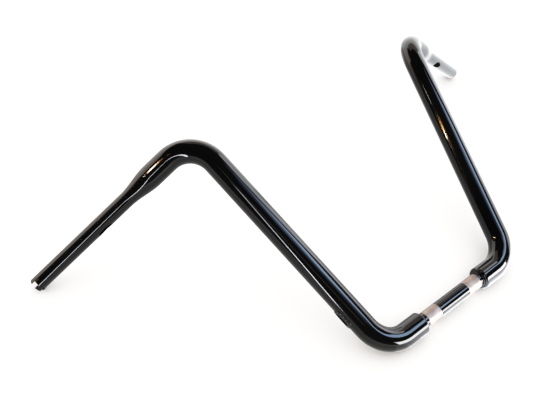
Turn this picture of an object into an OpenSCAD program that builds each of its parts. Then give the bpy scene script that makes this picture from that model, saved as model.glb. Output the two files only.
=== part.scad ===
/* [Tube] */
// Outer diameter of the fat bends and risers
tube_d = 38.1; // [34:0.1:40]
// Diameter of the grips and of the clamp bar
grip_d = 25.4; // [22.2:0.1:25.4]
// Wall of the bent tubes
wall = 2.4; // [1.6:0.1:3]

/* [Bends] */
// Straight stub from the shoulder to the lower bend
stub_len = 31; // [28:1:50]
// Angle of the lower bend
low_a = 78.4; // [70:0.1:88]
// Centre line radius of the lower bend
low_r = 54; // [48:1:60]
// Straight riser between the two bends
riser_len = 339; // [250:1:400]
// Turn of the upper bend's plane about the riser
twist = 143.9; // [135:0.1:150]
// Angle of the upper bend
top_a = 90.1; // [80:0.1:100]
// Centre line radius of the upper bend
top_r = 53; // [48:1:60]
// Fat straight between the upper bend and the taper
fat_len = 33; // [20:1:60]
// Length of the swaged taper
taper_len = 58; // [50:1:70]
// Straight length of each grip
grip_len = 201; // [180:1:230]

/* [Clamp bar] */
// Half the length of the bar that shows between the shoulders
clamp_half = 71.5; // [60:0.5:90]
// Depth that the bar and the collars reach into each tube
insert_len = 20; // [12:1:24]
// Wall of the clamp bar
clamp_wall = 4.8; // [3:0.1:8]
// Radius of the shoulder's outer edge
shoulder_r = 3.5; // [2:0.5:4]
// Weld fillet at the foot of the shoulder
fillet_r = 1.4; // [0.8:0.1:2]

/* [Wiring slots] */
// Length of each slot
slot_len = 29; // [24:1:32]
// Width of each slot
slot_w = 13; // [9:0.5:14]
// Distance of the grip slot's centre from the grip end
grip_slot_s = 146.5; // [140:0.5:160]
// Turn of the grip slot about the tube, from the top
grip_slot_a = -117; // [-140:1:-90]
// Distance of the outlet slot's centre from the lower bend
outlet_s = 34.5; // [30:0.5:80]
// Turn of the outlet slot about the riser, from the top
outlet_a = -105; // [-140:1:-90]
// Rim of the rubber grommet around its slot
rim = 3; // [2:0.5:4]
// Height of the grommet's rim over the tube
rim_h = 1.6; // [1:0.1:2.5]

/* [Throttle end] */
// Width of the four index notches
notch_w = 8.4; // [6:0.1:9]
// Depth of the notches
notch_d = 7.5; // [5:0.5:10]
// Turn of the first notch about the grip, from the top
notch_a = -28; // [-45:1:0]

/* [Hidden] */
$fn = 96;
tube_r = tube_d / 2;
grip_r = grip_d / 2;
bore_r = tube_r - wall;
head_len = shoulder_r + 1;
tube_start = clamp_half + head_len;

// The bar is laid out with its lower bends turning straight up, and is then
// tilted about the clamp axis until its stubs and its grip ends share a floor.
function unit(v) = v / norm(v);
d0 = [1, 0, 0];
u0 = [0, 0, 1];
d1 = cos(low_a) * d0 + sin(low_a) * u0;
x1 = cos(low_a) * u0 - sin(low_a) * d0;
u1 = cos(twist) * x1 + sin(twist) * cross(d1, x1);
d2 = cos(top_a) * d1 + sin(top_a) * u1;
x2 = cos(top_a) * u1 - sin(top_a) * d1;
riser_start = [tube_start + stub_len, 0, 0] + low_r * ((1 - cos(low_a)) * u0 + sin(low_a) * d0);
tip = riser_start + riser_len * d1
    + top_r * ((1 - cos(top_a)) * u1 + sin(top_a) * d1)
    + (fat_len + taper_len + grip_len) * d2;
// the tilt at which a grip end's lowest edge is level with the stubs
function tilt_of(t, n) = n == 0 ? t :
    let (dz = d2[1] * sin(t) + d2[2] * cos(t), low = grip_r * sqrt(1 - dz * dz) - tube_r)
    tilt_of(180 - asin(low / norm([tip[1], tip[2]])) - atan2(tip[2], tip[1]), n - 1);
tilt = tilt_of(60, 8);
// the direction, across a leg d, that points to the top once the bar lies
up = [0, sin(tilt), cos(tilt)];
function top_of(d) = unit(up - (up * d) * d);
// how far a leg's own X axis is turned from that direction
function turn_of(d, x) = atan2(cross(d, top_of(d)) * x, top_of(d) * x);
riser_turn = turn_of(d1, x1);
grip_turn = turn_of(d2, x2);

// one bend of a rod that runs along Z and turns towards X
module bend(big, ang, r) {
    translate([big, 0, 0]) rotate([90, 0, 180])
        rotate_extrude(angle = ang) translate([big, 0]) circle(r = r);
}

// a hairline band where a bend and a straight meet
module seam(r) { translate([0, 0, -0.3]) cylinder(h = 0.6, r = r + 0.015); }

// carries its children to the end of such a bend
module past(big, ang) {
    translate([big, 0, 0]) rotate([0, ang, 0]) translate([-big, 0, 0]) children();
}

// lays its children's Z on a leg and their X on the leg's own X
module on_stub() { translate([tube_start, 0, 0]) rotate([0, 90, 0]) rotate([0, 0, 180]) children(); }
module on_riser() { on_stub() translate([0, 0, stub_len]) past(low_r, low_a) children(); }
module on_grip() { on_riser() translate([0, 0, riser_len]) rotate([0, 0, twist]) past(top_r, top_a) children(); }

function neck(u) = grip_r + (tube_r - grip_r) * (1 + cos(180 * u)) / 2;

// the swaged taper, from the fat tube down to the grip
module taper(off) {
    n = 16;
    rotate_extrude()
        polygon(concat([[0, 0]], [for (i = [0 : n]) [neck(i / n) - off, taper_len * i / n]], [[0, taper_len]]));
}

// the whole run of one side: its outside, or its bore when off is the wall
module run(off, over) {
    on_stub() {
        translate([0, 0, -over]) cylinder(h = stub_len + over, r = tube_r - off);
        translate([0, 0, stub_len]) bend(low_r, low_a, tube_r - off);
    }
    on_riser() {
        seam(tube_r - off);
        cylinder(h = riser_len, r = tube_r - off);
        translate([0, 0, riser_len]) {
            seam(tube_r - off);
            rotate([0, 0, twist]) bend(top_r, top_a, tube_r - off);
        }
    }
    on_grip() {
        seam(tube_r - off);
        cylinder(h = fat_len, r = tube_r - off);
        translate([0, 0, fat_len]) taper(off);
        translate([0, 0, fat_len + taper_len]) cylinder(h = grip_len + over, r = grip_r - off);
    }
}

// outline of a slot, with its length along X
module slot2d(len, w) {
    square([len - w, w], center = true);
    for (s = [-1, 1]) translate([s * (len - w) / 2, 0]) circle(d = w);
}

// places a thing at a slot, on a leg's Z at s: Z points out of the tube and X along it
module at_slot(s, turn) {
    translate([0, 0, s]) rotate([0, 0, turn]) rotate([0, 90, 0]) children();
}

module side_tube() {
    difference() {
        run(0, 0);
        run(wall, 2);
        on_grip() at_slot(fat_len + taper_len + grip_len - grip_slot_s, grip_slot_a - grip_turn)
            linear_extrude(grip_r + 4) slot2d(slot_len, slot_w);
    }
}

module right_tube() {
    color([0.03, 0.03, 0.035])
    rotate([tilt, 0, 0]) difference() {
        side_tube();
        on_riser() at_slot(outlet_s, outlet_a - riser_turn)
            linear_extrude(tube_r + 4) slot2d(slot_len, slot_w);
        on_grip() translate([0, 0, fat_len + taper_len + grip_len]) rotate([0, 0, notch_a - grip_turn])
            for (a = [0, 90]) rotate([0, 0, a])
                translate([-grip_d, -notch_w / 2, -notch_d]) cube([2 * grip_d, notch_w, notch_d + 5]);
    }
}

module left_tube() {
    color([0.03, 0.03, 0.035]) mirror([1, 0, 0]) rotate([tilt, 0, 0]) side_tube();
}

// the narrow bar that the risers' clamps hold
module clamp_bar() {
    half = tube_start + insert_len;
    color([0.75, 0.73, 0.7])
    rotate([0, 90, 0]) difference() {
        translate([0, 0, -half]) cylinder(h = 2 * half, r = grip_r);
        translate([0, 0, -half - 1]) cylinder(h = 2 * half + 2, r = grip_r - clamp_wall);
    }
}

// the turned collar that closes a tube's end round the clamp bar
module collar() {
    m = 8;
    head = [for (i = [0 : m]) [tube_r - shoulder_r + shoulder_r * sin(90 * i / m), clamp_half + shoulder_r - shoulder_r * cos(90 * i / m)]];
    weld = [for (i = [0 : m]) [grip_r + fillet_r - fillet_r * cos(90 * i / m), clamp_half - fillet_r + fillet_r * sin(90 * i / m)]];
    rotate([0, 90, 0]) rotate_extrude()
        polygon(concat(weld, head,
            [[tube_r, tube_start], [bore_r, tube_start], [bore_r, tube_start + insert_len], [grip_r, tube_start + insert_len]]));
}

module right_collar() {
    color([0.03, 0.03, 0.035]) collar();
}

module left_collar() {
    color([0.03, 0.03, 0.035]) mirror([1, 0, 0]) collar();
}

// a band of the grommet between two radii of the riser, cut to a slot outline
module grommet_band(len, w, r_in, r_out) {
    intersection() {
        linear_extrude(tube_r + 8) slot2d(len, w);
        rotate([0, 90, 0]) translate([0, 0, -40]) difference() {
            cylinder(h = 80, r = r_out);
            translate([0, 0, -1]) cylinder(h = 82, r = r_in);
        }
    }
}

module wire_grommet() {
    color([0.05, 0.05, 0.05])
    rotate([tilt, 0, 0]) on_riser() at_slot(outlet_s, outlet_a - riser_turn)
    difference() {
        union() {
            grommet_band(slot_len + 2 * rim, slot_w + 2 * rim, tube_r, tube_r + rim_h);
            grommet_band(slot_len, slot_w, bore_r - 1, tube_r + 1);
            grommet_band(slot_len + 2 * rim - 1, slot_w + 2 * rim - 1, bore_r - rim_h, bore_r);
        }
        linear_extrude(tube_r + 8) slot2d(slot_len - 5, slot_w - 5);
    }
}

right_tube();
left_tube();
clamp_bar();
right_collar();
left_collar();
wire_grommet();
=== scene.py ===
import math

import bpy
import numpy as np
from mathutils import Matrix, Vector


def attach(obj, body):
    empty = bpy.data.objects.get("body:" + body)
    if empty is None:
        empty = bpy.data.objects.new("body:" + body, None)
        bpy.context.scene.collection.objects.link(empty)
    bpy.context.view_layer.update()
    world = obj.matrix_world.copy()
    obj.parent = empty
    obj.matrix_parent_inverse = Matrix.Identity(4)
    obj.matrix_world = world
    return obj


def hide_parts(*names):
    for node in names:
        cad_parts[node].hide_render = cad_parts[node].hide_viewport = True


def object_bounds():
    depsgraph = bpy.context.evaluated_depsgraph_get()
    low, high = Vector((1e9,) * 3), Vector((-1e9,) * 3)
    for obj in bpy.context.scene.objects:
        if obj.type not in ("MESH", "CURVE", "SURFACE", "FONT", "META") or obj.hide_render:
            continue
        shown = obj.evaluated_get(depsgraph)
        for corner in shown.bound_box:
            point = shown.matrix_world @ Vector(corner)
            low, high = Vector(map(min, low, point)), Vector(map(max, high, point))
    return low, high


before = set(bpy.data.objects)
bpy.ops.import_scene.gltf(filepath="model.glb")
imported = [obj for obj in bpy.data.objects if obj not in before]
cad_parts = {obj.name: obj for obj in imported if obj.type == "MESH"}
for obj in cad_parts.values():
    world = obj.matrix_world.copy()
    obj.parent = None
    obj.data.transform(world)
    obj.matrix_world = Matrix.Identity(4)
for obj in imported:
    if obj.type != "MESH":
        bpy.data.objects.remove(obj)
cad_lo, cad_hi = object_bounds()

# ---------------------------------------------------------------- the bar's own layout, in mm, as the CAD has it
TUBE_R, GRIP_R, WALL = 19.05, 12.7, 2.4
LOW_A, LOW_R, RISER, TWIST, TOP_A, TOP_R = math.radians(78.4), 54.0, 339.0, math.radians(143.9), math.radians(90.1), 53.0
FAT, TAPER, GRIP = 33.0, 58.0, 201.0
START, STUB, HALF = 76.0, 31.0, 71.5
TILT = math.radians(62.4499)
TURN = np.array([[1, 0, 0], [0, math.cos(TILT), -math.sin(TILT)], [0, math.sin(TILT), math.cos(TILT)]])
D0, U0 = np.array([1.0, 0, 0]), np.array([0, 0, 1.0])
D1 = math.cos(LOW_A) * D0 + math.sin(LOW_A) * U0
X1 = math.cos(LOW_A) * U0 - math.sin(LOW_A) * D0
U1 = math.cos(TWIST) * X1 + math.sin(TWIST) * np.cross(D1, X1)
D2 = math.cos(TOP_A) * D1 + math.sin(TOP_A) * U1
P0 = np.array([START + STUB, 0, 0])
C1 = P0 + LOW_R * U0
P1 = C1 - LOW_R * U0 * math.cos(LOW_A) + LOW_R * D0 * math.sin(LOW_A)
P2 = P1 + RISER * D1
C2 = P2 + TOP_R * U1
P3 = C2 - TOP_R * U1 * math.cos(TOP_A) + TOP_R * D1 * math.sin(TOP_A)
S = np.cumsum([0, START + STUB, LOW_R * LOW_A, RISER, TOP_R * TOP_A, FAT, TAPER, GRIP])
SLOT_L, SLOT_W = 29.0, 13.0
OUTLET_S, OUTLET_A = S[2] + 34.5, math.radians(-105)
GRIPSLOT_S, GRIPSLOT_A = S[7] - 146.5, math.radians(-117)
NOTCH_W, NOTCH_D, NOTCH_A = 8.4, 7.5, math.radians(-28)


def axis_at(s):
    """Point and direction of the right side's centre line."""
    if s <= S[1]:
        p, t = D0 * s, D0
    elif s <= S[2]:
        q = (s - S[1]) / LOW_R
        p, t = C1 - LOW_R * U0 * math.cos(q) + LOW_R * D0 * math.sin(q), math.cos(q) * D0 + math.sin(q) * U0
    elif s <= S[3]:
        p, t = P1 + (s - S[2]) * D1, D1
    elif s <= S[4]:
        q = (s - S[3]) / TOP_R
        p, t = C2 - TOP_R * U1 * math.cos(q) + TOP_R * D1 * math.sin(q), math.cos(q) * D1 + math.sin(q) * U1
    else:
        p, t = P3 + (s - S[4]) * D2, D2
    return TURN @ p, TURN @ t


def radius_at(s):
    if s <= S[5]:
        return TUBE_R
    if s >= S[6]:
        return GRIP_R
    return GRIP_R + (TUBE_R - GRIP_R) * (1 + math.cos(math.pi * (s - S[5]) / TAPER)) / 2


def basis_at(s):
    """Point, direction, and the two directions across the tube that angles are counted from: up, then sideways."""
    p, t = axis_at(s)
    e1 = np.array([0, 0, 1.0]) - t[2] * t
    e1 /= np.linalg.norm(e1)
    return p, t, e1, np.cross(t, e1)


def on_tube(s, a, off=0.0, out=0.0):
    """A point of the right side at s along it and angle a about it. off is depth under the skin."""
    p, t, e1, e2 = basis_at(s)
    return p + (radius_at(s) - off + out) * (math.cos(a) * e1 + math.sin(a) * e2)


# ---------------------------------------------------------------- materials
def tree(name):
    m = bpy.data.materials.new(name)
    m.use_nodes = True
    nt = m.node_tree
    nt.nodes.clear()
    out = nt.nodes.new("ShaderNodeOutputMaterial")
    b = nt.nodes.new("ShaderNodeBsdfPrincipled")
    nt.links.new(b.outputs[0], out.inputs[0])
    return m, nt, b


def noise(nt, co, scale, detail=4.0, rough=0.55):
    n = nt.nodes.new("ShaderNodeTexNoise")
    n.inputs["Scale"].default_value = scale
    n.inputs["Detail"].default_value = detail
    n.inputs["Roughness"].default_value = rough
    nt.links.new(co, n.inputs["Vector"])
    return n


def ramp(nt, fac, stops):
    r = nt.nodes.new("ShaderNodeValToRGB")
    el = r.color_ramp.elements
    while len(el) > 1:
        el.remove(el[-1])
    el[0].position, el[0].color = stops[0][0], (*stops[0][1], 1)
    for pos, col in stops[1:]:
        e = el.new(pos)
        e.color = (*col, 1)
    nt.links.new(fac, r.inputs[0])
    return r


def span(nt, fac, lo, hi, a=0.0, b=1.0):
    m = nt.nodes.new("ShaderNodeMapRange")
    m.inputs["From Min"].default_value = a
    m.inputs["From Max"].default_value = b
    m.inputs["To Min"].default_value = lo
    m.inputs["To Max"].default_value = hi
    nt.links.new(fac, m.inputs["Value"])
    return m


def bump(nt, height, strength, distance, normal=None):
    b = nt.nodes.new("ShaderNodeBump")
    b.inputs["Strength"].default_value = strength
    b.inputs["Distance"].default_value = distance
    nt.links.new(height, b.inputs["Height"])
    if normal is not None:
        nt.links.new(normal, b.inputs["Normal"])
    return b


def gloss_black():
    m, nt, b = tree("gloss_black_paint")
    co = nt.nodes.new("ShaderNodeTexCoord").outputs["Object"]
    b.inputs["IOR"].default_value = 1.47
    b.inputs["Specular IOR Level"].default_value = 0.5
    broad = noise(nt, co, 9.0, 3.0)
    tint = ramp(nt, broad.outputs["Fac"], [(0.35, (0.0022, 0.0022, 0.0026)), (0.65, (0.0042, 0.0040, 0.0040))])
    nt.links.new(tint.outputs[0], b.inputs["Base Color"])
    haze = noise(nt, co, 60.0, 5.0, 0.6)
    rough = span(nt, haze.outputs["Fac"], 0.035, 0.085, 0.3, 0.75)
    nt.links.new(rough.outputs[0], b.inputs["Roughness"])
    peel = noise(nt, co, 420.0, 2.0, 0.4)
    nt.links.new(bump(nt, peel.outputs["Fac"], 0.05, 0.00005).outputs[0], b.inputs["Normal"])
    return m


def inner_black():
    """The same powder inside the tube, where the spray only dusts it."""
    m, nt, b = tree("bore_black")
    co = nt.nodes.new("ShaderNodeTexCoord").outputs["Object"]
    n = noise(nt, co, 140.0, 6.0, 0.65)
    tint = ramp(nt, n.outputs["Fac"], [(0.3, (0.004, 0.004, 0.0042)), (0.7, (0.014, 0.0125, 0.0115))])
    nt.links.new(tint.outputs[0], b.inputs["Base Color"])
    nt.links.new(span(nt, n.outputs["Fac"], 0.42, 0.7, 0.3, 0.7).outputs[0], b.inputs["Roughness"])
    nt.links.new(bump(nt, n.outputs["Fac"], 0.35, 0.0002).outputs[0], b.inputs["Normal"])
    return m


def knurled_steel():
    m, nt, b = tree("bare_knurled_steel")
    co = nt.nodes.new("ShaderNodeTexCoord").outputs["Object"]
    b.inputs["Metallic"].default_value = 1.0
    n = noise(nt, co, 55.0, 6.0, 0.6)
    tint = ramp(nt, n.outputs["Fac"], [(0.25, (0.20, 0.155, 0.130)), (0.5, (0.27, 0.225, 0.20)), (0.75, (0.34, 0.295, 0.27))])
    nt.links.new(tint.outputs[0], b.inputs["Base Color"])
    fine = noise(nt, co, 900.0, 3.0, 0.6)
    nt.links.new(span(nt, fine.outputs["Fac"], 0.44, 0.60, 0.3, 0.7).outputs[0], b.inputs["Roughness"])
    nt.links.new(bump(nt, fine.outputs["Fac"], 0.25, 0.00006).outputs[0], b.inputs["Normal"])
    return m


def rubber():
    m, nt, b = tree("grommet_rubber")
    co = nt.nodes.new("ShaderNodeTexCoord").outputs["Object"]
    n = noise(nt, co, 180.0, 5.0, 0.6)
    tint = ramp(nt, n.outputs["Fac"], [(0.3, (0.008, 0.008, 0.0085)), (0.7, (0.017, 0.0165, 0.016))])
    nt.links.new(tint.outputs[0], b.inputs["Base Color"])
    nt.links.new(span(nt, n.outputs["Fac"], 0.14, 0.26, 0.3, 0.7).outputs[0], b.inputs["Roughness"])
    nt.links.new(bump(nt, n.outputs["Fac"], 0.2, 0.00012).outputs[0], b.inputs["Normal"])
    return m


def raw_steel():
    """The clamp bar's cut ends and bore, hidden inside the tubes."""
    m, nt, b = tree("raw_steel")
    co = nt.nodes.new("ShaderNodeTexCoord").outputs["Object"]
    b.inputs["Metallic"].default_value = 1.0
    n = noise(nt, co, 80.0, 6.0, 0.65)
    tint = ramp(nt, n.outputs["Fac"], [(0.3, (0.20, 0.17, 0.15)), (0.7, (0.36, 0.34, 0.32))])
    nt.links.new(tint.outputs[0], b.inputs["Base Color"])
    nt.links.new(span(nt, n.outputs["Fac"], 0.38, 0.6, 0.3, 0.7).outputs[0], b.inputs["Roughness"])
    nt.links.new(bump(nt, n.outputs["Fac"], 0.3, 0.0001).outputs[0], b.inputs["Normal"])
    return m


PAINT, BORE, STEEL, RUBBER, RAW = gloss_black(), inner_black(), knurled_steel(), rubber(), raw_steel()
NODE_FINISH = {"right_tube": PAINT, "left_tube": PAINT, "right_collar": PAINT, "left_collar": PAINT, "clamp_bar": STEEL, "wire_grommet": RUBBER}
for name, finish in NODE_FINISH.items():
    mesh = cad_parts[name].data
    mesh.materials.clear()
    mesh.materials.append(finish)


# ---------------------------------------------------------------- mesh building
class Shape:
    """Vertices in mm, welded by position, and faces, each with a material number."""

    def __init__(self):
        self.v, self.f, self.m, self.at = [], [], [], {}

    def vert(self, p):
        k = (round(p[0], 4), round(p[1], 4), round(p[2], 4))
        if k not in self.at:
            self.at[k] = len(self.v)
            self.v.append(tuple(float(x) for x in p))
        return self.at[k]

    def face(self, ids, mat=0):
        ids = [i for k, i in enumerate(ids) if i != ids[k - 1]]
        if len(ids) > 2:
            self.f.append(ids)
            self.m.append(mat)

    def strip(self, a, b, mat=0, closed=True):
        n = len(a)
        for i in range(n if closed else n - 1):
            j = (i + 1) % n
            self.face([a[i], a[j], b[j], b[i]], mat)

    def make(self, name, mats, slot, nodes, mirror=False, sharp=40):
        v = np.array(self.v) / 1000.0
        f = self.f
        if mirror:
            v[:, 0] *= -1
            f = [list(reversed(q)) for q in f]
        mesh = bpy.data.meshes.new(name)
        mesh.from_pydata([tuple(x) for x in v], [], f)
        mesh.polygons.foreach_set("material_index", self.m)
        mesh.polygons.foreach_set("use_smooth", [True] * len(f))
        for x in mats:
            mesh.materials.append(x)
        mesh.update()
        mesh.set_sharp_from_angle(angle=math.radians(sharp))
        o = bpy.data.objects.new(name, mesh)
        bpy.context.scene.collection.objects.link(o)
        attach(o, "root")
        if nodes:
            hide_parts(*nodes)
        return o


SEG = 96


def stops(extra):
    """Places along the run where rings go: close together in bends and in the taper."""
    out = {START, S[7] - NOTCH_D - 8.0}
    for a, b, n in ((START, S[1], 4), (S[1], S[2], 30), (S[2], S[3], 24), (S[3], S[4], 36), (S[4], S[5], 4), (S[5], S[6], 32), (S[6], S[7] - NOTCH_D - 8.0, 18)):
        for i in range(n + 1):
            out.add(a + (b - a) * i / n)
    out |= {x for e in extra for x in e}
    got = []
    for x in sorted(out):
        if any(e[0] < x < e[-1] and x not in e for e in extra):
            continue
        if got and x - got[-1] < 0.02:
            continue
        got.append(x)
    return got


def stadium(k, n, length, width):
    """The k-th of n points round a slot's outline, starting at the corner of the patch that holds it: along, across."""
    r = width / 2
    flat = length - width
    total = 2 * flat + 2 * math.pi * r
    d = (k / n) * total
    # begins at the middle of the far end, and goes round
    d = (d + math.pi * r / 2) % total
    if d < math.pi * r:
        a = math.pi / 2 - (d / r)
        return flat / 2 + r * math.cos(a), r * math.sin(a)
    d -= math.pi * r
    if d < flat:
        return flat / 2 - d, -r
    d -= flat
    if d < math.pi * r:
        a = -math.pi / 2 - d / r
        return -flat / 2 + r * math.cos(a), r * math.sin(a)
    d -= math.pi * r
    return -flat / 2 + d, r


def side(slots, notched):
    """One bent tube: its skin and bore, with each slot as a ring of faces that runs into the skin's grid."""
    sh = Shape()
    patch = []
    for s0, a0, lip in slots:
        r = radius_at(s0)
        along = [s0 + x for x in np.linspace(-23, 23, 15)]
        half = int(round(math.asin(min(0.97, (SLOT_W / 2 + 4.2) / r)) / (2 * math.pi / SEG))) + 1
        mid = int(round(a0 / (2 * math.pi / SEG)))
        patch.append((s0, a0, lip, along, mid - half, mid + half))
    rings = stops([p[3] for p in patch])
    warp = S[7] - NOTCH_D - 8.0

    def skin(s, k, off):
        return on_tube(s, k * 2 * math.pi / SEG, off)

    for off, mat in ((0.0, 0), (WALL, 1)):
        inside = off > 0
        grid = {s: [sh.vert(skin(s, k, off)) for k in range(SEG)] for s in rings}
        for a, b in zip(rings, rings[1:]):
            for k in range(SEG):
                cut = False
                for s0, a0, lip, along, k0, k1 in patch:
                    kk = (k - k0) % SEG
                    if along[0] - 1e-6 <= a and b <= along[-1] + 1e-6 and kk < k1 - k0:
                        cut = True
                if cut:
                    continue
                q = [grid[a][k], grid[b][k], grid[b][(k + 1) % SEG], grid[a][(k + 1) % SEG]]
                sh.face(q[::-1] if inside else q, mat)
        if not inside:
            outer = grid
        else:
            inner = grid
    # the slots
    for s0, a0, lip, along, k0, k1 in patch:
        r = radius_at(s0)
        edge = [(along[i], k1) for i in range(len(along))][::-1]
        edge += [(along[0], k) for k in range(k1 - 1, k0, -1)]
        edge += [(along[i], k0) for i in range(len(along))]
        edge += [(along[-1], k) for k in range(k0 + 1, k1)]
        n = len(edge)

        def spot(off, x, y):
            """x along and y across the slot, at a depth under the skin: the slot's walls are straight, so y is a chord."""
            rr = radius_at(s0 + x) - off
            return on_tube(s0 + x, a0 + math.asin(max(-0.99, min(0.99, y / rr))), off)

        # where each edge point's spoke meets the slot: matched by turning angle in the flat
        flat = [((e[0] - s0), r * math.sin(e[1] * 2 * math.pi / SEG - a0)) for e in edge]

        def hit(px, py, grow):
            """The outline point nearest in direction to a patch edge point, for a slot grown all round."""
            w, l = SLOT_W / 2 + grow, (SLOT_L - SLOT_W) / 2
            cx = max(-l, min(l, px * l / 23.0))
            d = math.hypot(px - cx, py)
            return cx + (px - cx) * w / d, py * w / d

        loops = []
        for off, mat in ((0.0, 0), (WALL, 1)):
            first = [(outer if off == 0 else inner)[e[0]][e[1] % SEG] for e in edge]
            prev, row = first, None
            steps = (0.25, 0.5, 0.72, 0.88)
            turn = 0.9 if off == 0 else 0.4
            for u in steps:
                row = []
                for e, (px, py) in zip(edge, flat):
                    hx, hy = hit(px, py, turn)
                    if off > 0:
                        py2 = (r - off) * math.sin(e[1] * 2 * math.pi / SEG - a0)
                        row.append(sh.vert(spot(off, px + (hx - px) * u, py2 + (hy - py2) * u)))
                    else:
                        row.append(sh.vert(spot(off, px + (hx - px) * u, py + (hy - py) * u)))
                for i in range(n):
                    j = (i + 1) % n
                    q = [prev[i], prev[j], row[j], row[i]]
                    sh.face(q if off == 0 else q[::-1], mat)
                prev = row
            # the rounded lip
            m = 5 if off == 0 else 3
            for c in range(m + 1):
                th = math.pi / 2 * c / m
                row = [sh.vert(spot(off + (turn * (1 - math.cos(th))) * (1 if off == 0 else -1), *hit(px, py, turn * (1 - math.sin(th))))) for px, py in flat]
                for i in range(n):
                    j = (i + 1) % n
                    q = [prev[i], prev[j], row[j], row[i]]
                    sh.face(q if off == 0 else q[::-1], 0)
                prev = row
            loops.append(prev)
        for i in range(n):
            j = (i + 1) % n
            sh.face([loops[0][i], loops[0][j], loops[1][j], loops[1][i]], 0)
    # the end that the collar closes
    lo = rings[0]
    for k in range(SEG):
        j = (k + 1) % SEG
        sh.face([outer[lo][j], inner[lo][j], inner[lo][k], outer[lo][k]], 0)
    # the open end
    last = rings[-1]
    if not notched:
        end_o, end_i = outer[last], inner[last]
        for s, cut in ((S[7] - 4.0, 0.0), (S[7] - 0.7, 0.0), (S[7] - 0.45, 0.06), (S[7] - 0.2, 0.22), (S[7], 0.6)):
            row = [sh.vert(on_tube(s, k * 2 * math.pi / SEG, cut)) for k in range(SEG)]
            for k in range(SEG):
                j = (k + 1) % SEG
                sh.face([end_o[k], row[k], row[j], end_o[j]], 0)
            end_o = row
        for s, cut in ((S[7] - 4.0, 0.0), (S[7] - 0.5, 0.0), (S[7], 0.4)):
            row = [sh.vert(on_tube(s, k * 2 * math.pi / SEG, WALL - cut)) for k in range(SEG)]
            for k in range(SEG):
                j = (k + 1) % SEG
                sh.face([end_i[j], row[j], row[k], end_i[k]], 1)
            end_i = row
        for k in range(SEG):
            j = (k + 1) % SEG
            sh.face([end_o[j], end_o[k], end_i[k], end_i[j]], 0)
    else:
        # four prongs between four notches: each quarter has points up to the notch's edge, and a gap
        q = SEG // 4
        wide = 5  # cells of each quarter that lie in the notch

        def angles(off, mix):
            h = math.asin(NOTCH_W / 2 / (GRIP_R - off))
            out = []
            for k in range(SEG):
                quarter, i = divmod(k, q)
                base = NOTCH_A + quarter * math.pi / 2
                if i <= wide:
                    a = base - h + 2 * h * i / wide
                else:
                    a = base + h + (math.pi / 2 - 2 * h) * (i - wide) / (q - wide)
                plain = base - math.radians(90 / q) * wide / 2 + math.radians(90 / q) * i
                out.append(plain * (1 - mix) + a * mix)
            return out

        cells = 2 * math.pi / SEG
        shift = NOTCH_A - cells * wide / 2
        whole = round(shift / cells)
        foot = S[7] - NOTCH_D
        levels = [(warp + (foot - warp) * i / 5, i / 5) for i in range(1, 6)]
        prev_o = [outer[last][(k + whole) % SEG] for k in range(SEG)]
        prev_i = [inner[last][(k + whole) % SEG] for k in range(SEG)]
        for s, mix in levels:
            plain = [(k + whole) * cells for k in range(SEG)]
            for off in (0.0, WALL):
                end = angles(off, 1.0)
                row = [sh.vert(on_tube(s, plain[k] * (1 - mix) + end[k] * mix, off)) for k in range(SEG)]
                prev = prev_o if off == 0 else prev_i
                for k in range(SEG):
                    j = (k + 1) % SEG
                    f = [prev[k], row[k], row[j], prev[j]]
                    sh.face(f if off == 0 else f[::-1], 0 if off == 0 else 1)
                if off == 0:
                    prev_o = row
                else:
                    prev_i = row
        ao, ai = angles(0.0, 1.0), angles(WALL, 1.0)
        for k in range(SEG):
            j = (k + 1) % SEG
            if k % q < wide:  # the notch's floor
                sh.face([prev_o[k], prev_i[k], prev_i[j], prev_o[j]][::-1], 0)
        tops = [(S[7] - 0.5, 0.0), (S[7] - 0.15, 0.12), (S[7], 0.42)]
        row_o, row_i = prev_o, prev_i
        for s, cut in tops:
            ro = [sh.vert(on_tube(s, ao[k], cut)) for k in range(SEG)]
            ri = [sh.vert(on_tube(s, ai[k], WALL - cut)) for k in range(SEG)]
            for k in range(SEG):
                j = (k + 1) % SEG
                if k % q >= wide:
                    sh.face([row_o[k], ro[k], ro[j], row_o[j]], 0)
                    sh.face([row_i[k], ri[k], ri[j], row_i[j]][::-1], 1)
            for quarter in range(4):
                a, b = quarter * q + wide, ((quarter + 1) * q) % SEG
                sh.face([row_o[a], row_i[a], ri[a], ro[a]], 0)
                sh.face([row_o[b], row_i[b], ri[b], ro[b]][::-1], 0)
            row_o, row_i = ro, ri
        for k in range(SEG):
            j = (k + 1) % SEG
            if k % q >= wide:
                sh.face([row_o[k], row_i[k], row_i[j], row_o[j]][::-1], 0)
    return sh


right = side([(OUTLET_S, OUTLET_A, "outlet"), (GRIPSLOT_S, GRIPSLOT_A, "grip")], True)
right.make("right_tube_skin", [PAINT, BORE], "gloss_black", ["right_tube"])
left = side([(GRIPSLOT_S, GRIPSLOT_A, "grip")], False)
left.make("left_tube_skin", [PAINT, BORE], "gloss_black", ["left_tube"], mirror=True)


def turned(profile, n, ripple=None):
    """A closed ring turned about X from points (radius, x)."""
    sh = Shape()
    rows = []
    for i, (r, x, mat) in enumerate(profile):
        rows.append([sh.vert(np.array([x, (r + (ripple(i, k) if ripple else 0)) * math.cos(2 * math.pi * k / n), (r + (ripple(i, k) if ripple else 0)) * math.sin(2 * math.pi * k / n)])) for k in range(n)])
    for i in range(len(profile)):
        a, b = rows[i], rows[(i + 1) % len(profile)]
        for k in range(n):
            j = (k + 1) % n
            sh.face([a[k], a[j], b[j], b[k]], profile[i][2])
    return sh


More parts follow.
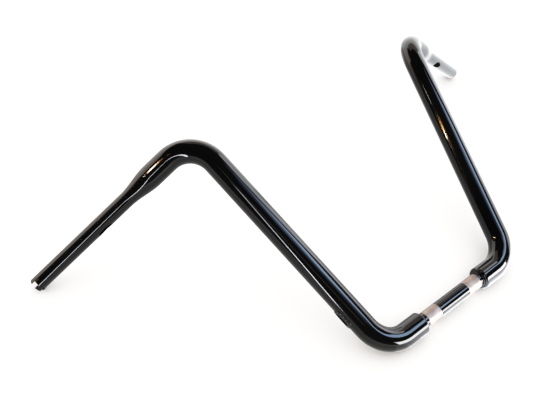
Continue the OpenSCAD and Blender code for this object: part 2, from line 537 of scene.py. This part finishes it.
# the collar: weld fillet at the bar, flat shoulder, rounded edge, then the spigot inside the tube
SH_R, FIL = 3.5, 1.4
prof = []
for i in range(9):
    th = math.pi / 2 * i / 8
    prof.append((GRIP_R + FIL * (1 - math.cos(th)), HALF - FIL + FIL * math.sin(th), 0))
first_weld = 9
for r in (TUBE_R - SH_R - 0.6,):
    prof.append((r, HALF, 0))
for i in range(13):
    th = math.pi / 2 * i / 12
    prof.append((TUBE_R - SH_R + SH_R * math.sin(th), HALF + SH_R - SH_R * math.cos(th), 0))
prof += [(TUBE_R, START, 0), (16.65, START, 0), (16.65, START + 20, 0), (GRIP_R, START + 20, 0), (GRIP_R, HALF + 2, 0)]


def weld_ripple(i, k):
    """The weld's stacked beads, softened by the paint."""
    if 1 <= i <= 7:
        return 0.10 * math.sin(math.pi * i / 8) * abs(math.sin(math.pi * k * 26 / 96))
    return 0.0


for mirror, name in ((False, "right_collar"), (True, "left_collar")):
    ring = turned(prof, 96, weld_ripple)
    ring.make(name + "_skin", [PAINT], "gloss_black", [name], mirror=mirror)

# the clamp bar: a painted middle, two knurled bands, painted ends that run into the collars, and its bore
BR = GRIP_R - 4.8
PAINT_T = 0.0


def bar_piece(name, x0, x1, mats, slot, knurl, mirror=False):
    sh = Shape()
    n = 192 if knurl else 96
    if knurl:
        xs = list(np.linspace(x0, x1, 73))
    else:
        xs = [x0, x0 + 0.15, x0 + 0.4] + list(np.linspace(x0 + 1, x1 - 1, 6)) + [x1 - 0.4, x1 - 0.15, x1]
    rows = []
    for x in xs:
        row = []
        for k in range(n):
            a = 2 * math.pi * k / n
            r = GRIP_R
            if knurl:
                fade = min(1.0, (x - x0) / 0.8, (x1 - x) / 0.8)
                u = (x - x0) / 1.6
                w = a * 48 / (2 * math.pi)
                g = max(abs(math.sin(math.pi * (u + w))), abs(math.sin(math.pi * (u - w))))
                r = GRIP_R - 0.02 - 0.17 * max(0.0, fade) * (1 - g) ** 0.8
            else:
                e = min(x - x0, x1 - x)
                r = GRIP_R - (0.0 if e > 0.3 else 0.05 * (1 - e / 0.3))
            row.append(sh.vert(np.array([x, r * math.cos(a), r * math.sin(a)])))
        rows.append(row)
    bore = [[sh.vert(np.array([x, BR * math.cos(2 * math.pi * k / n), BR * math.sin(2 * math.pi * k / n)])) for k in range(n)] for x in (xs[0], xs[-1])]
    for a, b in zip(rows, rows[1:]):
        for k in range(n):
            j = (k + 1) % n
            sh.face([a[k], a[j], b[j], b[k]][::-1], 0)
    for k in range(n):
        j = (k + 1) % n
        sh.face([bore[0][k], bore[0][j], bore[1][j], bore[1][k]], 1)
        sh.face([rows[0][k], rows[0][j], bore[0][j], bore[0][k]], 1)
        sh.face([rows[-1][k], rows[-1][j], bore[1][j], bore[1][k]][::-1], 1)
    return sh.make(name, mats, slot, ["clamp_bar"], mirror=mirror)


bar_piece("clamp_bar_middle", -34.5, 34.5, [PAINT, RAW], "gloss_black", False)
for mirror, tag in ((False, "right"), (True, "left")):
    bar_piece(f"clamp_knurl_{tag}", 34.5, 63.5, [STEEL, RAW], "knurled_steel", True, mirror)
    bar_piece(f"clamp_bar_end_{tag}", 63.5, 96.0, [PAINT, RAW], "gloss_black", False, mirror)


# the grommet: a rounded rubber bead round the outlet slot, held by a flange inside the tube
def grommet():
    sh = Shape()
    n = 72
    s0, a0 = OUTLET_S, OUTLET_A
    p, t, e1, e2 = basis_at(s0)
    rr = TUBE_R
    prof2 = []  # (distance outside the hole's inner edge, height over the skin)
    inner, wall_at, outer_at = 0.0, 2.5, 5.5
    height = 1.6
    prof2.append((outer_at, 0.0))
    prof2.append((outer_at, 0.25))
    for i in range(1, 10):
        th = math.pi * i / 10
        prof2.append((outer_at / 2 + (outer_at / 2) * math.cos(th), 0.25 + (height - 0.25) * math.sin(th) ** 0.8))
    prof2.append((inner, 0.25))
    prof2.append((inner, -WALL))
    prof2.append((0.25, -WALL - 1.3))
    prof2.append((0.7, -WALL - 1.6))
    prof2.append((outer_at - 0.7, -WALL - 1.6))
    prof2.append((outer_at - 0.5, -WALL))
    prof2.append((wall_at, -WALL))
    prof2.append((wall_at, 0.0))
    rows = []
    for g, h in prof2:
        row = []
        for k in range(n):
            x, y = stadium(k, n, 24.0 + 2 * g, 8.0 + 2 * g)
            r = rr + h
            row.append(sh.vert(on_tube(s0 + x, a0 + math.asin(max(-0.95, min(0.95, y / r))), 0, h)))
        rows.append(row)
    for i in range(len(rows)):
        a, b = rows[i], rows[(i + 1) % len(rows)]
        for k in range(n):
            j = (k + 1) % n
            sh.face([a[k], a[j], b[j], b[k]][::-1], 0)
    return sh.make("wire_grommet_bead", [RUBBER], "grommet_rubber", ["wire_grommet"], sharp=50)


grommet()

# ---------------------------------------------------------------- floor, light and camera
def panel(name, colour, strength, corners):
    mesh = bpy.data.meshes.new(name)
    mesh.from_pydata(corners, [], [tuple(range(len(corners)))])
    m = bpy.data.materials.new(name)
    m.use_nodes = True
    nt = m.node_tree
    nt.nodes.clear()
    e = nt.nodes.new("ShaderNodeEmission")
    e.inputs[0].default_value = (*colour, 1)
    e.inputs[1].default_value = strength
    o = nt.nodes.new("ShaderNodeOutputMaterial")
    nt.links.new(e.outputs[0], o.inputs[0])
    mesh.materials.append(m)
    ob = bpy.data.objects.new(name, mesh)
    bpy.context.scene.collection.objects.link(ob)
    ob.visible_camera = False
    ob.visible_shadow = False
    ob.visible_diffuse = False
    return ob


MID = Vector((0, -0.2, 0.08))


def toward(az, el, far):
    a, e = math.radians(az), math.radians(el)
    return MID + far * Vector((math.sin(a) * math.cos(e), math.cos(a) * math.cos(e), math.sin(e)))


def window(name, az0, az1, el0, el1, far, colour, strength, n=6):
    """A curved bank of light between two compass bearings and two heights, seen from the object's middle."""
    v, f = [], []
    for i in range(n + 1):
        a = az0 + (az1 - az0) * i / n
        v += [toward(a, el0, far), toward(a, el1, far)]
    ob = panel(name, colour, strength, [v[0], v[1], v[3], v[2]])
    mesh = ob.data
    mats = [m for m in mesh.materials]
    mesh.clear_geometry()
    mesh.from_pydata([tuple(x) for x in v], [], [(2 * i, 2 * i + 1, 2 * i + 3, 2 * i + 2) for i in range(n)])
    mesh.update()
    return ob


window("sky_window", -70, -34, 41, 54, 3.0, (0.58, 0.75, 1.0), 8.6)
window("sky_top", -68, -34, 54, 64, 3.0, (0.56, 0.72, 1.0), 4.4)
window("sky_edge", -34, -8, 48, 70, 3.0, (0.46, 0.66, 1.0), 1.3, 4)
window("door_window", -50, -5, -6, 17, 3.0, (1.0, 0.985, 1.0), 17.0)
window("pale_curtain", -100, -80, -4, 50, 3.2, (0.93, 0.94, 1.0), 4.6, 4)
window("left_wall", -180, -99, -4, 36, 3.4, (1.0, 0.985, 0.97), 2.6, 10)
window("left_low", -82, -60, -4, 24, 3.4, (0.95, 0.95, 1.0), 3.0, 4)
window("upper_wall", -180, -100, 37, 57, 3.4, (1.0, 0.87, 0.80), 1.15, 8)
window("warm_wall", 126, 180, -4, 32, 3.4, (1.0, 0.90, 0.83), 2.6, 6)
window("dim_wall", -4, 126, -4, 10, 3.6, (0.9, 0.95, 1.0), 0.10, 8)
window("brown_trim", 121, 124, 4, 20, 3.2, (1.0, 0.55, 0.30), 1.2, 1)
window("brown_post", 103, 107, 4, 27, 3.0, (1.0, 0.70, 0.50), 0.55, 1)
shelf = []
for i in range(7):
    k = i / 6
    shelf.append((tuple(toward(30 + 32 * k, 37.0 + 7.5 * k, 3.2)), tuple(toward(30 + 32 * k, 38.7 + 7.5 * k, 3.2))))
for i in range(6):
    (a, b), (c, d) = shelf[i], shelf[i + 1]
    panel(f"shelf_edge_{i}", (1.0, 0.93, 0.86), 2.6, [a, b, d, c])


def lamp(name, az, el, far, along, wide, tall, colour, strength, at=(0, -0.2, 0.08)):
    """A small flat lamp square to a point of the object, with its short side along a direction."""
    c = toward(az, el, far) - MID + Vector(at)
    n = (Vector(at) - c).normalized()
    u = Vector(along)
    u = (u - u.dot(n) * n).normalized()
    w = n.cross(u)
    q = [c + u * wide * i / 2 + w * tall * j / 2 for i, j in ((-1, -1), (1, -1), (1, 1), (-1, 1))]
    return panel(name, colour, strength, [tuple(x) for x in q])


GRIPWARD = (0.791135, -0.126955, -0.598321)
RISERWARD = (-0.201078, -0.868498, 0.453077)
lamp("taper_lamp", 102.5, 40.5, 2.6, GRIPWARD, 0.06, 0.46, (1.0, 0.92, 0.74), 80.0, (0.311, -0.383, 0.166))
lamp("taper_glow", 102.5, 40.5, 2.62, GRIPWARD, 0.14, 0.72, (1.0, 0.42, 0.10), 8.0, (0.311, -0.383, 0.166))


def streak(name, a, b, wide, far, colour, strength):
    """A narrow lamp between two sight lines, each a point of the object with a bearing and a height."""
    ends = [toward(az, el, far) - MID + Vector(at) for at, az, el in (a, b)]
    n = (Vector(a[0]) - ends[0]).normalized()
    side_way = (ends[1] - ends[0]).cross(n).normalized() * wide / 2
    return panel(name, colour, strength, [tuple(x) for x in (ends[0] - side_way, ends[0] + side_way, ends[1] + side_way, ends[1] - side_way)])


RISER_TOP = ((-0.1897, -0.2255, 0.1314), 96.5, 40.2)
RISER_CORE_TOP = ((-0.1865, -0.2175, 0.1252), 102.0, 29.0)
RISER_CORE_LOW = ((-0.1826, -0.2065, 0.1180), 106.6, 18.4)
RISER_LOW = ((-0.1773, -0.1886, 0.1061), 111.5, 7.0)
streak("riser_lamp", RISER_CORE_TOP, RISER_CORE_LOW, 0.07, 2.6, (1.0, 0.86, 0.60), 130.0)
streak("riser_glow", RISER_TOP, RISER_LOW, 0.06, 2.64, (1.0, 0.48, 0.12), 14.0)
# two dark flags keep one glint's lamp out of the other tube
panel("flag_high", (0.0, 0.0, 0.0), 0.0, [(1.26, -1.0, 1.07), (1.26, -1.0, 1.60), (1.26, -0.45, 1.60), (1.26, -0.45, 1.07)])
panel("flag_low", (0.0, 0.0, 0.0), 0.0, [(0.75, -0.62, 0.14), (0.75, -0.62, 0.425), (0.75, -0.40, 0.425), (0.75, -0.40, 0.14)])
lamp("shoulder_spot", 111.5, 31.5, 2.8, RISERWARD, 0.09, 0.09, (1.0, 0.97, 0.92), 24.0, (-0.142, -0.030, 0.027))
for name, z0, z1, power in (("reflector_low", -0.018, 0.52, 24.0), ("reflector_mid", 0.52, 0.80, 17.0), ("reflector_top", 0.80, 1.15, 13.0)):
    panel(name, (0.92, 0.95, 1.0), power, [(1.25, 0.385, z0), (1.25, 0.385, z1), (1.287, 0.33, z1), (1.287, 0.33, z0)])

# broad soft lights that only matt things take: overhead, and a cooler one from the window's side
soft = panel("overhead_soft", (1.0, 0.99, 0.98), 1.40, [(-38, -38, 3.2), (38, -38, 3.2), (38, 38, 3.2), (-38, 38, 3.2)])
side_c = toward(-50, 48, 2.6)
soft2 = lamp("window_soft", -50, 48, 2.6, (0.64, 0.77, 0), 2.4, 2.4, (0.98, 0.985, 1.0), 1.3)
soft3 = lamp("warm_fill", 78, 26, 1.9, (1, 0, 0), 1.2, 1.2, (1.0, 0.74, 0.54), 0.7)
for x in (soft, soft2, soft3):
    x.visible_diffuse = True
    x.visible_glossy = False

floor_mesh = bpy.data.meshes.new("floor")
FZ = cad_lo.z
floor_mesh.from_pydata([(-40, -40, FZ), (40, -40, FZ), (40, 40, FZ), (-40, 40, FZ)], [], [(0, 1, 2, 3)])
floor = bpy.data.objects.new("floor", floor_mesh)
bpy.context.scene.collection.objects.link(floor)
# what polished paint sees of the floor: its sunlit and its shaded parts
for name, x0, x1, y0, y1, colour, power in (
        ("floor_near", -0.15, 0.75, -0.75, 0.012, (1.0, 0.985, 0.965), 0.88),
        ("floor_middle", -0.34, -0.15, -0.75, 0.012, (1.0, 0.99, 0.98), 1.8),
        ("floor_far", -3.0, -0.34, -2.0, 0.35, (0.95, 0.975, 1.0), 2.05),
        ("floor_front", -1.5, 0.75, 0.35, 1.5, (0.95, 0.965, 1.0), 2.1),
        ("floor_bright", -0.34, 0.02, 0.012, 0.35, (0.93, 0.95, 1.0), 4.6),
        ("floor_fade_a", 0.02, 0.05, 0.012, 0.35, (0.94, 0.955, 1.0), 3.4),
        ("floor_fade_b", 0.05, 0.08, 0.012, 0.35, (0.95, 0.96, 0.995), 2.7),
        ("floor_fade_c", 0.08, 0.11, 0.012, 0.35, (0.97, 0.97, 0.98), 2.0),
        ("floor_fade_d", 0.11, 0.14, 0.012, 0.35, (0.98, 0.98, 0.975), 1.5),
        ("floor_side", 0.14, 0.75, 0.012, 0.35, (1.0, 0.985, 0.965), 1.0)):
    panel(name, colour, power, [(x0, y0, FZ + 0.0006), (x1, y0, FZ + 0.0006), (x1, y1, FZ + 0.0006), (x0, y1, FZ + 0.0006)])
m, nt, b = tree("floor_white")
co = nt.nodes.new("ShaderNodeTexCoord").outputs["Object"]
cloud = noise(nt, co, 1.2, 2.0)
tone = ramp(nt, cloud.outputs["Fac"], [(0.3, (0.90, 0.895, 0.885)), (0.7, (0.93, 0.927, 0.92))])
nt.links.new(tone.outputs[0], b.inputs["Base Color"])
b.inputs["Roughness"].default_value = 0.9
b.inputs["Specular IOR Level"].default_value = 0.0
floor_mesh.materials.append(m)

# a pale surround that only the camera sees, for views that look past the floor
back = panel("surround", (0.965, 0.965, 0.96), 1.0, [(-1, 0, 0), (1, 0, 0), (0, 1, 0)])
mesh = back.data
mesh.clear_geometry()
import bmesh
bm = bmesh.new()
bmesh.ops.create_icosphere(bm, subdivisions=4, radius=30)
bm.to_mesh(mesh)
bm.free()
back.visible_camera = True
back.visible_glossy = False
back.visible_transmission = False

world = bpy.data.worlds.new("studio")
bpy.context.scene.world = world
world.use_nodes = True
bg = world.node_tree.nodes["Background"]
bg.inputs[0].default_value = (0.9, 0.95, 1.0, 1)
bg.inputs[1].default_value = 0.012

cam_data = bpy.data.cameras.new("camera")
cam = bpy.data.objects.new("camera", cam_data)
bpy.context.scene.collection.objects.link(cam)
right_v = Vector((-0.776896, 0.626855, 0.059035))
down_v = Vector((0.421968, 0.587961, -0.690105))
fwd_v = Vector((-0.467306, -0.511229, -0.721298))
m4 = Matrix.Identity(4)
for i in range(3):
    m4[i][0], m4[i][1], m4[i][2] = right_v[i], -down_v[i], -fwd_v[i]
m4.translation = Vector((0.65803, 0.259917, 0.858787))
cam.matrix_world = m4
cam_data.sensor_fit = "HORIZONTAL"
cam_data.sensor_width = 36.0
cam_data.lens = 36.0 * 655.0 / 533.0
cam_data.clip_start, cam_data.clip_end = 0.01, 100.0
bpy.context.scene.camera = cam

bpy.context.scene.view_settings.view_transform = "Standard"
bpy.context.scene.view_settings.look = "None"
bpy.context.scene.view_settings.exposure = 0.0
bpy.context.scene.view_settings.gamma = 1.0
bpy.context.scene.view_settings.use_curve_mapping = True
tone_curve = bpy.context.scene.view_settings.curve_mapping
for x, y in ((0.012, 0.008), (0.055, 0.040), (0.22, 0.23), (0.50, 0.60), (0.80, 0.90)):
    tone_curve.curves[3].points.new(x, y)
tone_curve.update()
